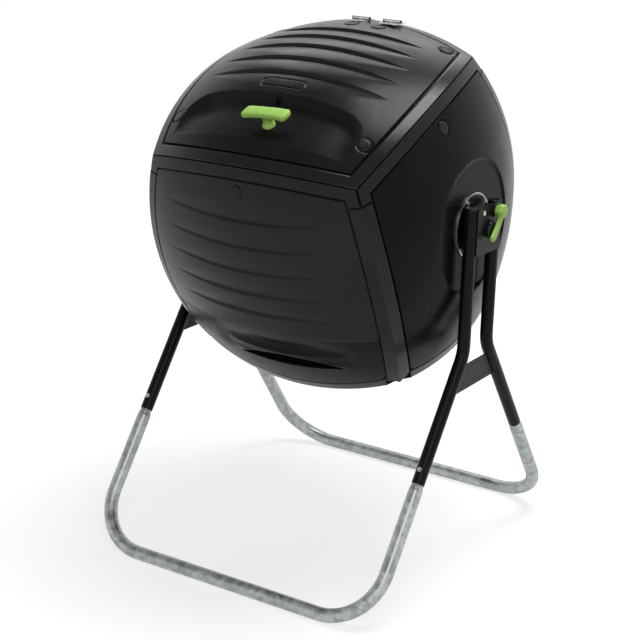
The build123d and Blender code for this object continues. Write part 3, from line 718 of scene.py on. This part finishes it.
longSide = {
    "laps": [(0.170, 0.190), (0.118, 0.195), (0.066, 0.200), (0.014, 0.200), (-0.036, 0.195)],
    "lapDepth": 0.0046,
    "lapRun": 0.046,
    "lapCurve": 1.7,
    "lapTaper": 2.6,
    "riser": 0.005,
    "lapWindow": (0.008, 0.007, 0.0012),
    "dip": {"start": -0.088, "foot": -0.128, "depth": 0.0085, "x": 0.022, "half": 0.165, "fade": 0.03},
    "step": {"y": -0.087, "depth": 0.0009, "run": 0.003, "fade": 0.05},    # the painted shade of the weaker-reflection copy starts here
    "brow": {"foot": -0.117, "crest": -0.138, "rise": 0.0125, "x": 0.028, "half": 0.140, "fade": 0.02},
    "slot": {
        "lip": -0.180, "brow": -0.144, "x": 0.030, "half": 0.124, "depth": 0.021,
        "arch": 0.004, "wallRun": 0.005, "endSlope": 3,
    },
    "notch": 0.006,
    "notchRun": 0.0012,
    "plugShare": 0.45,             # the moat is shallower than on the lid
    "floorWall": 0.010,
    "grid": (0.006, 0.005),
    "fineRows": [(-0.190, -0.118, 0.0010), (-0.093, -0.084, 0.0010)],
}


# a round bite out of the lower corners of a panel, down to the flange
def cornerNotch(x, y):
    spot = drum["corner"] - fieldInset / rootTwo
    away = np.hypot(np.abs(x) - spot, y + spot)
    within = longSide["notch"] - away
    return drum["flangeDepth"] * smooth(within / longSide["notchRun"] + 0.5)


# the finger recess: a face that dips to the foot of a raised brow, and below the brow a deep slot
def bowed(x, shape):
    return np.clip(1 - ((x - shape["x"]) / shape["half"]) ** 2, 0, None)


def recessDepth(x, y):
    dip, step, brow, slot = (longSide[key] for key in ("dip", "step", "brow", "slot"))
    aboveLip = y - slot["lip"]
    down = smooth((dip["start"] - y) / (dip["start"] - dip["foot"])) * smooth(aboveLip / dip["fade"])
    up = np.clip((brow["foot"] - y) / (brow["foot"] - brow["crest"]), 0, 1) ** 2
    up = up * smooth(aboveLip / brow["fade"])
    field = smooth((step["y"] - y) / step["run"]) * smooth(aboveLip / step["fade"])
    sunk = dip["depth"] * bowed(x, dip) * down - brow["rise"] * bowed(x, brow) * up + step["depth"] * field
    across = bowed(x, slot)
    lip = slot["lip"] + slot["arch"] * (1 - across)
    upper = lip + (slot["brow"] - slot["lip"]) * across
    inSlot = smooth((y - lip) / slot["wallRun"]) * smooth((upper - y) / slot["wallRun"])
    inSlot = inSlot * np.clip(slot["endSlope"] * across, 0, 1)
    return sunk + (slot["depth"] - sunk) * inSlot


def longSideLower(x, y):
    shallow = plugSeat(x, y, [plug["side"]]) * longSide["plugShare"]
    return np.maximum(lapDepth(x, y, longSide, 1), shallow) + recessDepth(x, y)


def longSideInside(x, y):
    return np.clip(recessDepth(x, y) + longSide["floorWall"] - drum["panelWall"], 0, None)


def makeLongSides():
    half = borderAt("front", fieldInset, 0.0)
    colStep, rowStep = longSide["grid"]
    cols = gridLines(half, colStep, plugWindows([plug["side"]], 0))
    rowWindows = lapWindows(longSide) + plugWindows([plug["side"]], 1) + longSide["fineRows"]
    rows = gridLines(half, rowStep, rowWindows)
    for face in ("front", "back"):
        verts, faces = domePanel(
            face, fieldInset, drum["panelWall"], cols, rows, longSideLower, longSideInside, cut=cornerNotch
        )
        shell = addPiece(face + "Shell", verts, faces, "drum", "charcoal_plastic", [face + "_panel"])
        # below the step the panel takes the painted shade copy
        shadedPatch(shell, face, lambda x, y: y < longSide["step"]["y"])
    print("front and back made:", len(verts), "points each")


makeLongSides()


# end panels with the flat pad round the axle

endSide = {
    "pad": 0.312,
    "padRadius": 0.132,
    "padEdge": 0.006,
    "backPad": 0.008,              # the pad is this much wider inside
    "padWindow": (-0.140, 0.140, 0.0028),
    "grid": 0.007,
    "bottomGrid": 0.008,
}


def padDepth(x, y):
    return np.clip(domeHeight("right", x, y) - endSide["pad"], 0, None)


def endLower(x, y):
    inPad = smooth((endSide["padRadius"] - np.hypot(x, y)) / endSide["padEdge"] + 0.5)
    return np.maximum(padDepth(x, y) * inPad, plugSeat(x, y, [plug["side"]]))


def endInside(x, y):
    within = endSide["padRadius"] + endSide["backPad"] - np.hypot(x, y)
    return padDepth(x, y) * smooth(within / endSide["padEdge"])


def makeEnds():
    half = borderAt("right", fieldInset, 0.0)
    cols, rows = (
        gridLines(half, endSide["grid"], [endSide["padWindow"]] + plugWindows([plug["side"]], axis))
        for axis in (0, 1)
    )
    for face in ("left", "right"):
        name, replaced = face + "EndShell", [face + "_end_panel"]
        verts, faces = domePanel(
            face, fieldInset, drum["panelWall"], cols, rows, endLower, endInside, cut=cornerNotch
        )
        # the ends take the plastic copy with weaker reflection, as painted shade
        addPiece(name, verts, faces, "drum", "charcoal_plastic", replaced, look=endShadedPlastic)
    flat = gridLines(borderAt("bottom", fieldInset, 0.0), endSide["bottomGrid"])
    verts, faces = domePanel("bottom", fieldInset, drum["panelWall"], flat, flat, lambda x, y: 0 * x)
    addPiece("bottomShell", verts, faces, "drum", "charcoal_plastic", ["bottom_panel"])
    places = [(face, *plug["side"]) for face in sideFaces]
    plugPieces("sideRoundPlugs", places, "drum", ["panel_plugs"])
    print("ends and bottom made:", len(verts), "points")


makeEnds()


# strips: a section of insets carried along the border of one face

def stripInsets(low, high, middle=6):
    steps = [e for e in edgeSteps if e < (high - low) / 2]
    inner = list(np.linspace(low + steps[-1], high - steps[-1], middle + 2)[1:-1])
    return np.array([low + e for e in steps] + inner + [high - e for e in reversed(steps)])


def stripSkin(face, insets, a, b, sunk, wall):
    points = np.stack([rayPoint(face, i, a[:, n], b[:, n]) for n, i in enumerate(insets)], 1)
    shape = np.broadcast_to(insets, a.shape)
    depths = (np.broadcast_to(depth, a.shape) for depth in (sunk, wall))
    return [pointsToWorld(face, sinkAlongRay(face, points, shape, depth)) for depth in depths]


# once round the four sides of a face
def squareLoop(count):
    t = np.linspace(-1, 1, count, endpoint=False)
    one = np.ones(count)
    return np.concatenate([t, one, -t, -one]), np.concatenate([one, -t, -one, t])


def frameLoop(insets, sunk):
    a, b = (line[:, None] * np.ones((1, len(insets))) for line in squareLoop(64))
    return gridSolid(*stripSkin("top", insets, a, b, sunk, drum["doorWall"]), loop=True)


def makeDoorFrame():
    low, high = drum["mitre"], drum["frameWidth"]
    insets = np.union1d(stripInsets(low, high), high - np.linspace(0.4, 1.0, 6) * drum["rimRound"])
    sunk = np.maximum(roundOff(insets - low, drum["edgeRound"]), roundOff(high - insets, drum["rimRound"]))
    ledge = stripInsets(high + drum["ledgeGap"], high + drum["ledgeWidth"], 3)
    verts, faces = joined(frameLoop(insets, sunk), frameLoop(ledge, drum["ledgeDepth"]))
    # the door frame takes the plastic copy with the painted highlight
    addPiece("doorRim", verts, faces, "drum", "charcoal_plastic", ["door_frame"], look=rimHighlightPlastic)
    print("door frame made")


makeDoorFrame()


# where a border plane reaches a height on the face, as a share of the ray's width
def shareAt(face, inset, height):
    return height / borderAt(face, inset, height)


def makeTopRails():
    low, high = drum["railGap"], drum["stripWidth"]
    insets = stripInsets(low, high)
    sunk = roundOff(np.minimum(insets - low, high - insets), drum["edgeRound"])
    run = np.linspace(0, 1, 10)
    for face in sideFaces:
        stop = np.array([shareAt(face, i, drum["tabLine"]) for i in insets])
        rise = stop[None, :] + (1 - stop[None, :]) * run[:, None]
        level = np.linspace(-1, 1, 66)[1:-1, None] * np.ones((1, len(insets)))
        a = np.concatenate([-np.ones_like(rise), level, np.ones_like(rise)])
        b = np.concatenate([rise, np.ones_like(level), rise[::-1]])
        verts, faces = gridSolid(*stripSkin(face, insets, a, b, sunk, drum["stripWall"]))
        addPiece("topRail." + face, verts, faces, "drum", "charcoal_plastic", ["top_rail_" + face])
    print("top rails made")


makeTopRails()


# a strip over the edge between two faces: skins of both halves joined along the mitre
def edgeStrip(first, second):
    outer = np.concatenate([first[0], second[0][:, 1:]], axis=1)
    inner = np.concatenate([first[1], second[1][:, 1:]], axis=1)
    seam = first[0].shape[1] - 1
    outer[:, seam] = (first[0][:, -1] + second[0][:, 0]) / 2
    inner[:, seam] = (first[1][:, -1] + second[1][:, 0]) / 2
    return gridSolid(outer, inner)


def halfInsets():
    high = drum["stripWidth"]
    steps = [e for e in edgeSteps if e < high / 2]
    inner = list(np.linspace(high - steps[-1], drum["foldInset"], 7)[1:])
    return np.array([high - e for e in steps] + inner + [0.0])


def halfSkin(face, insets, a, b):
    sunk = roundOff(drum["stripWidth"] - insets, drum["edgeRound"])
    return stripSkin(face, insets, a, b, sunk, drum["stripWall"])


def makeCornerStrips():
    insets = halfInsets()
    run = np.linspace(0, 1, 60)[:, None]
    top = drum["tabLine"] - drum["seam"]
    foot = -1 + 2 * drum["mitre"] / drum["corner"]
    for n, face in enumerate(sideFaces):
        after = sideFaces[(n + 1) % 4]
        start = np.array([shareAt(face, i, top) for i in insets])[None, :]
        b = start + (foot - start) * run
        first = halfSkin(face, insets, np.ones_like(b), b)
        start = np.array([shareAt(after, i, top) for i in insets[::-1]])[None, :]
        b = start + (foot - start) * run
        second = halfSkin(after, insets[::-1], -np.ones_like(b), b)
        verts, faces = edgeStrip(first, second)
        name = face + "_" + after
        addPiece("cornerStrip." + name, verts, faces, "drum", "charcoal_plastic", ["corner_strip_" + name])
    print("corner strips made")


makeCornerStrips()


def makeBottomRails():
    insets = halfInsets()
    run = np.linspace(-1, 1, 64)[:, None]
    turns = {"front": (0, 1), "right": (1, 0), "back": (0, -1), "left": (-1, 0)}
    for face in sideFaces:
        # on the side face the rail stops short of the corner strips, underneath it is mitred
        limits = []
        for i in insets:
            low = borderAt(face, i, drum["railAside"])
            limits.append((low + (i - fieldInset) * rootTwo) / low)
        a = run * np.array(limits)[None, :]
        first = halfSkin(face, insets, a, -np.ones_like(a))
        share = 1 - drum["seam"] / 2 / drum["corner"]
        limit = np.linspace(limits[-1], share, len(insets))[None, :]
        along = run * limit * np.ones((1, len(insets)))
        wayX, wayY = turns[face]
        # underneath, the same direction along the edge
        across, down, _ = faceAxes["bottom"]
        flip = np.sign(np.dot(faceAxes[face][0], across * abs(wayY) + down * abs(wayX)))
        one = np.ones_like(along)
        aUnder = along * flip if wayY else one * wayX
        bUnder = one * wayY if wayY else along * flip
        second = halfSkin("bottom", insets[::-1], aUnder, bUnder)
        verts, faces = edgeStrip(first, second)
        addPiece("bottomRail." + face, verts, faces, "drum", "charcoal_plastic", ["bottom_rail_" + face])
    print("bottom rails made")


makeBottomRails()


# T-handle on the lid, in the frame of its own joint

handle = {
    "length": 0.0935,
    "width": 0.0280,
    "height": 0.0135,
    "middle": 0.0310,              # above the pocket floor
    "droop": 0.0032,
    "droopCurve": 2.4,
    "slant": 0.26,                 # the ends are cut at a slant
    "waist": 0.08,
    "turnDeg": 6,                  # not quite square to the lid
    "endStart": 0.86,
    "endLeast": 0.06,
    "squareness": 0.5,
    "rings": 41,
    "around": 28,
    # radius and height of the stem, from the spindle's end up into the bar
    "stem": [
        (0.0045, -0.0275), (0.0048, -0.0269), (0.00496, -0.0225), (0.0080, -0.0224), (0.0080, 0.0003),
        (0.0120, 0.0003), (0.0130, 0.0014), (0.0128, 0.0046), (0.0114, 0.0066), (0.0100, 0.0092),
        (0.0088, 0.0135), (0.0091, 0.0190), (0.0102, 0.0235), (0.0118, 0.0275), (0.0088, 0.0315),
    ],
}


def makeHandle():
    foot = Vector(joints["latch_turn"]["pos_m"])
    out = -Vector(joints["latch_turn"]["axis"]).normalized()
    side = Vector((1, 0, 0))
    side = (side - out * side.dot(out)).normalized()
    side.rotate(Quaternion(out, math.radians(handle["turnDeg"])))
    back = out.cross(side)
    bar = []
    for t, swell in barPlaces(handle):
        swell *= 1 - handle["waist"] * (1 - t * t)
        mid = handle["middle"] - handle["droop"] * abs(t) ** handle["droopCurve"]
        for wide, tall in softSection(handle, handle["width"] * swell, handle["height"] * swell):
            along = t * handle["length"] / 2 + handle["slant"] * wide * abs(t) ** 3
            bar.append(foot + side * along + back * wide + out * (mid + tall))
    barFaces = ringFaces(handle["rings"], handle["around"])
    verts, faces = joined((bar, barFaces), turned(handle["stem"], foot, out))
    addPiece("tHandle", verts, faces, "latch", "green_plastic", ["latch_handle"], 50)
    print("handle made")


makeHandle()


# lock lever, in the frame of its own joint

lever = {
    # radius and height: the neck from the collar up, the knob down from its front
    "neck": [(0.00852, 0.0), (0.01076, 0.0), (0.01136, 0.0006)],
    "knob": [
        (0.01136, -0.0135), (0.0134, -0.0125), (0.0142, -0.0115), (0.0142, -0.0025),
        (0.0134, -0.0009), (0.011076, -0.0002), (0.0004, -0.0004),
    ],
    "lobes": 6,
    "lobeDepth": 0.045,
    "arm": (-35, -48),             # the way it points at rest, in y and z
    "armStart": -0.010,
    "armLength": 0.075,
    "armSunk": 0.0016,             # below the front of the knob
    "rootWidth": 0.0150,
    "waist": 0.0122,
    "thick": 0.0085,
    "curve": 0.0035,
    "endStart": 0.74,
    "endLeast": 0.05,
    "squareness": 0.6,
    "rings": 30,
    "around": 22,
}


def makeLever():
    low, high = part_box("lock_lever")
    middle = Vector(joints["lever_turn"]["pos_m"])
    out = Vector((1, 0, 0))
    hub = Vector((low.x, middle.y, middle.z))
    depth = high.x - low.x
    profile = lever["neck"] + [(radius, depth + height) for radius, height in lever["knob"]]
    knob, knobFaces = turned(profile, hub, out, lever["lobes"] * 6, (0, 1, 0))
    for vert in knob:
        # soft lobes round the knob
        turn = math.atan2(vert.z - hub.z, vert.y - hub.y)
        pull = 1 - lever["lobeDepth"] * (1 - math.cos(lever["lobes"] * turn))
        vert.y, vert.z = hub.y + (vert.y - hub.y) * pull, hub.z + (vert.z - hub.z) * pull
    along = Vector((0, *lever["arm"])).normalized()
    across = out.cross(along)
    mid = depth - lever["thick"] / 2 - lever["armSunk"]
    arm = []
    for t, swell in barPlaces(lever):
        share = (t + 1) / 2
        belly = math.sin(share * math.pi)
        width = lever["rootWidth"] + (lever["waist"] - lever["rootWidth"]) * belly**2
        place = lever["armStart"] + share * lever["armLength"]
        spot = hub + along * place + across * lever["curve"] * belly
        for wide, tall in softSection(lever, width * swell, lever["thick"] * swell):
            arm.append(spot + across * wide + out * (mid + tall))
    verts, faces = joined((knob, knobFaces), (arm, ringFaces(lever["rings"], lever["around"])))
    addPiece("lockLever", verts, faces, "lever", "green_plastic", ["lock_lever"], 50)
    print("lever made")


makeLever()


# soft edges on the sheet-metal and moulded fittings that stay as they are
softEdges = {
    "axle_bracket_left": 0.0008,
    "axle_bracket_right": 0.0008,
    "leg_brace_left": 0.0006,
    "leg_brace_right": 0.0006,
    "bearing_block_left": 0.0012,
    "bearing_block_right": 0.0012,
    "bracket_screws": 0.0005,
    "disc_screws": 0.0005,
    "leg_screws": 0.0004,
    "index_disc": 0.0004,
    "hub_disc": 0.0004,
    "hinge_frame_leaves": 0.0003,
    "hinge_lid_leaves": 0.0003,
    "lock_collar": 0.0005,
}
for nodeName, width in softEdges.items():
    bevel = cad[nodeName].modifiers.new("softEdge", "BEVEL")
    bevel.width = width
    bevel.segments = 2
    bevel.limit_method = "ANGLE"
    bevel.angle_limit = math.radians(50)
    bevel.harden_normals = False
for obj in cad.values():
    obj.data.shade_smooth()
    obj.data.set_sharp_from_angle(angle=math.radians(32))
print("fittings softened:", len(softEdges))


# studio

studio = {
    "floorSize": 14.0,
    "cove": 2.0,                   # radius of the sweep up into the backdrop
    "coveSteps": 12,
    "backdrop": 7.0,
    "floorColour": (0.50, 0.50, 0.50),
    "shadowRampNear": (0.45, 0.66),      # painted shadow: distance from the bin and glow strength, dimmer near the bin
    "shadowRampFar": (1.7, 0.88),
    "worldLight": 0.28,
    "ceiling": [(0.38, (1, 1, 1)), (0.62, (0.35, 0.35, 0.35))],    # white backdrop, grey overhead
    "lamps": {                     # place, target, size, power
        "keySoftbox": ((1.7, -2.4, 2.3), (0, 0, 0.7), (1.5, 1.5), 26),
        "topSoftbox": ((0.55, 0.5, 2.95), (0.1, 0, 0.9), (1.0, 1.6), 40),
        "rearSoftbox": ((-0.85, 1.6, 2.5), (0, 0.1, 1.0), (1.8, 1.0), 10.5),
    },
}


# one for what the camera sees straight on, in a gloss or through glass
def seenDirectly(tree):
    path = tree.nodes.new("ShaderNodeLightPath")
    result = path.outputs["Is Camera Ray"]
    for kind in ("Is Glossy Ray", "Is Transmission Ray"):
        either = tree.nodes.new("ShaderNodeMath")
        either.operation = "MAXIMUM"
        tree.links.new(result, either.inputs[0])
        tree.links.new(path.outputs[kind], either.inputs[1])
        result = either.outputs[0]
    return result


def makeFloor():
    mesh = bpy.data.meshes.new("studioFloor")
    half, cove, steps = studio["floorSize"] / 2, studio["cove"], studio["coveSteps"]
    sweep = [(-half, 0)]
    for n in range(steps + 1):
        angle = math.pi / 2 * n / steps
        sweep.append((half - cove + cove * math.sin(angle), cove - cove * math.cos(angle)))
    sweep.append((half, studio["backdrop"]))
    verts = [(x, y, z) for y, z in sweep for x in (-half, half)]
    faces = [(i, i + 1, i + 3, i + 2) for i in range(0, len(verts) - 2, 2)]
    mesh.from_pydata(verts, [], faces)
    mesh.shade_smooth()
    floor = bpy.data.objects.new("studioFloor", mesh)
    bpy.context.scene.collection.objects.link(floor)
    mat, tree, shader = newMaterial("studioFloorPaint", Roughness=0.9, Specular_IOR_Level=0.0)
    shader.inputs["Base Color"].default_value = (*studio["floorColour"], 1)
    seen = seenDirectly(tree)
    glow = tree.nodes.new("ShaderNodeEmission")
    # the floor's glow ramps down towards the bin: a painted shadow on the floor round and under it
    shadowRamp = tree.nodes.new("ShaderNodeMapRange")
    for end, key in (("Min", "shadowRampNear"), ("Max", "shadowRampFar")):
        shadowRamp.inputs["From " + end].default_value, shadowRamp.inputs["To " + end].default_value = studio[key]
    tree.links.new(lengthOf(tree, ownCoords(tree)), shadowRamp.inputs["Value"])
    tree.links.new(shadowRamp.outputs["Result"], glow.inputs["Strength"])
    both = tree.nodes.new("ShaderNodeAddShader")
    tree.links.new(shader.outputs["BSDF"], both.inputs[0])
    tree.links.new(glow.outputs["Emission"], both.inputs[1])
    mix = tree.nodes.new("ShaderNodeMixShader")
    tree.links.new(seen, mix.inputs["Fac"])
    tree.links.new(shader.outputs["BSDF"], mix.inputs[1])
    tree.links.new(both.outputs["Shader"], mix.inputs[2])
    tree.links.new(mix.outputs["Shader"], tree.nodes["Material Output"].inputs["Surface"])
    mesh.materials.append(mat)


def makeWorld():
    world = bpy.data.worlds.new("studioWorld")
    bpy.context.scene.world = world
    world.use_nodes = True
    tree = world.node_tree
    light = tree.nodes["Background"]
    light.inputs["Strength"].default_value = studio["worldLight"]
    white = tree.nodes.new("ShaderNodeBackground")
    white.inputs["Strength"].default_value = 1.0
    light.inputs["Color"].default_value = (1, 1, 1, 1)
    coord = tree.nodes.new("ShaderNodeTexCoord")
    parts = tree.nodes.new("ShaderNodeSeparateXYZ")
    tree.links.new(coord.outputs["Generated"], parts.inputs["Vector"])
    tree.links.new(rampOf(tree, parts.outputs["Z"], studio["ceiling"]), white.inputs["Color"])
    mix = tree.nodes.new("ShaderNodeMixShader")
    tree.links.new(seenDirectly(tree), mix.inputs["Fac"])
    tree.links.new(light.outputs["Background"], mix.inputs[1])
    tree.links.new(white.outputs["Background"], mix.inputs[2])
    tree.links.new(mix.outputs["Shader"], tree.nodes["World Output"].inputs["Surface"])


def addSoftbox(name, place, target, size, power):
    lamp = bpy.data.lights.new(name, "AREA")
    lamp.shape = "RECTANGLE"
    lamp.size, lamp.size_y = size
    lamp.energy = power
    obj = bpy.data.objects.new(name, lamp)
    obj.location = place
    obj.rotation_euler = (Vector(target) - Vector(place)).to_track_quat("-Z", "Y").to_euler()
    bpy.context.scene.collection.objects.link(obj)


# camera as in the photograph
shot = {
    "azimuth": 32.5155,
    "elevation": 17.856,
    "roll": 1.6674,
    "distance": 3.404,
    "fieldOfView": 22.56,
    "aimHeight": 0.334,
    "aimRight": -0.0275,
    "aimUp": 0.1248,
}


def makeCamera():
    az, el, roll = (math.radians(shot[key]) for key in ("azimuth", "elevation", "roll"))
    back = Vector((math.sin(az) * math.cos(el), -math.cos(az) * math.cos(el), math.sin(el)))
    right = Vector((math.cos(az), math.sin(az), 0))
    up = back.cross(right)
    aim = Vector((0, 0, shot["aimHeight"])) + right * shot["aimRight"] + up * shot["aimUp"]
    place = aim + back * shot["distance"]
    turnedRight = right * math.cos(roll) + up * math.sin(roll)
    turnedUp = up * math.cos(roll) - right * math.sin(roll)
    lens = bpy.data.cameras.new("photoCamera")
    lens.sensor_fit = "HORIZONTAL"
    lens.angle = math.radians(shot["fieldOfView"])
    camera = bpy.data.objects.new("photoCamera", lens)
    rows = [(turnedRight[i], turnedUp[i], back[i], place[i]) for i in range(3)]
    camera.matrix_world = Matrix(rows + [(0, 0, 0, 1)])
    bpy.context.scene.collection.objects.link(camera)
    bpy.context.scene.camera = camera


makeFloor()
makeWorld()
for lampName, lampSetup in studio["lamps"].items():
    addSoftbox(lampName, *lampSetup)
makeCamera()
bpy.context.scene.view_settings.view_transform = "Standard"
print("studio set")
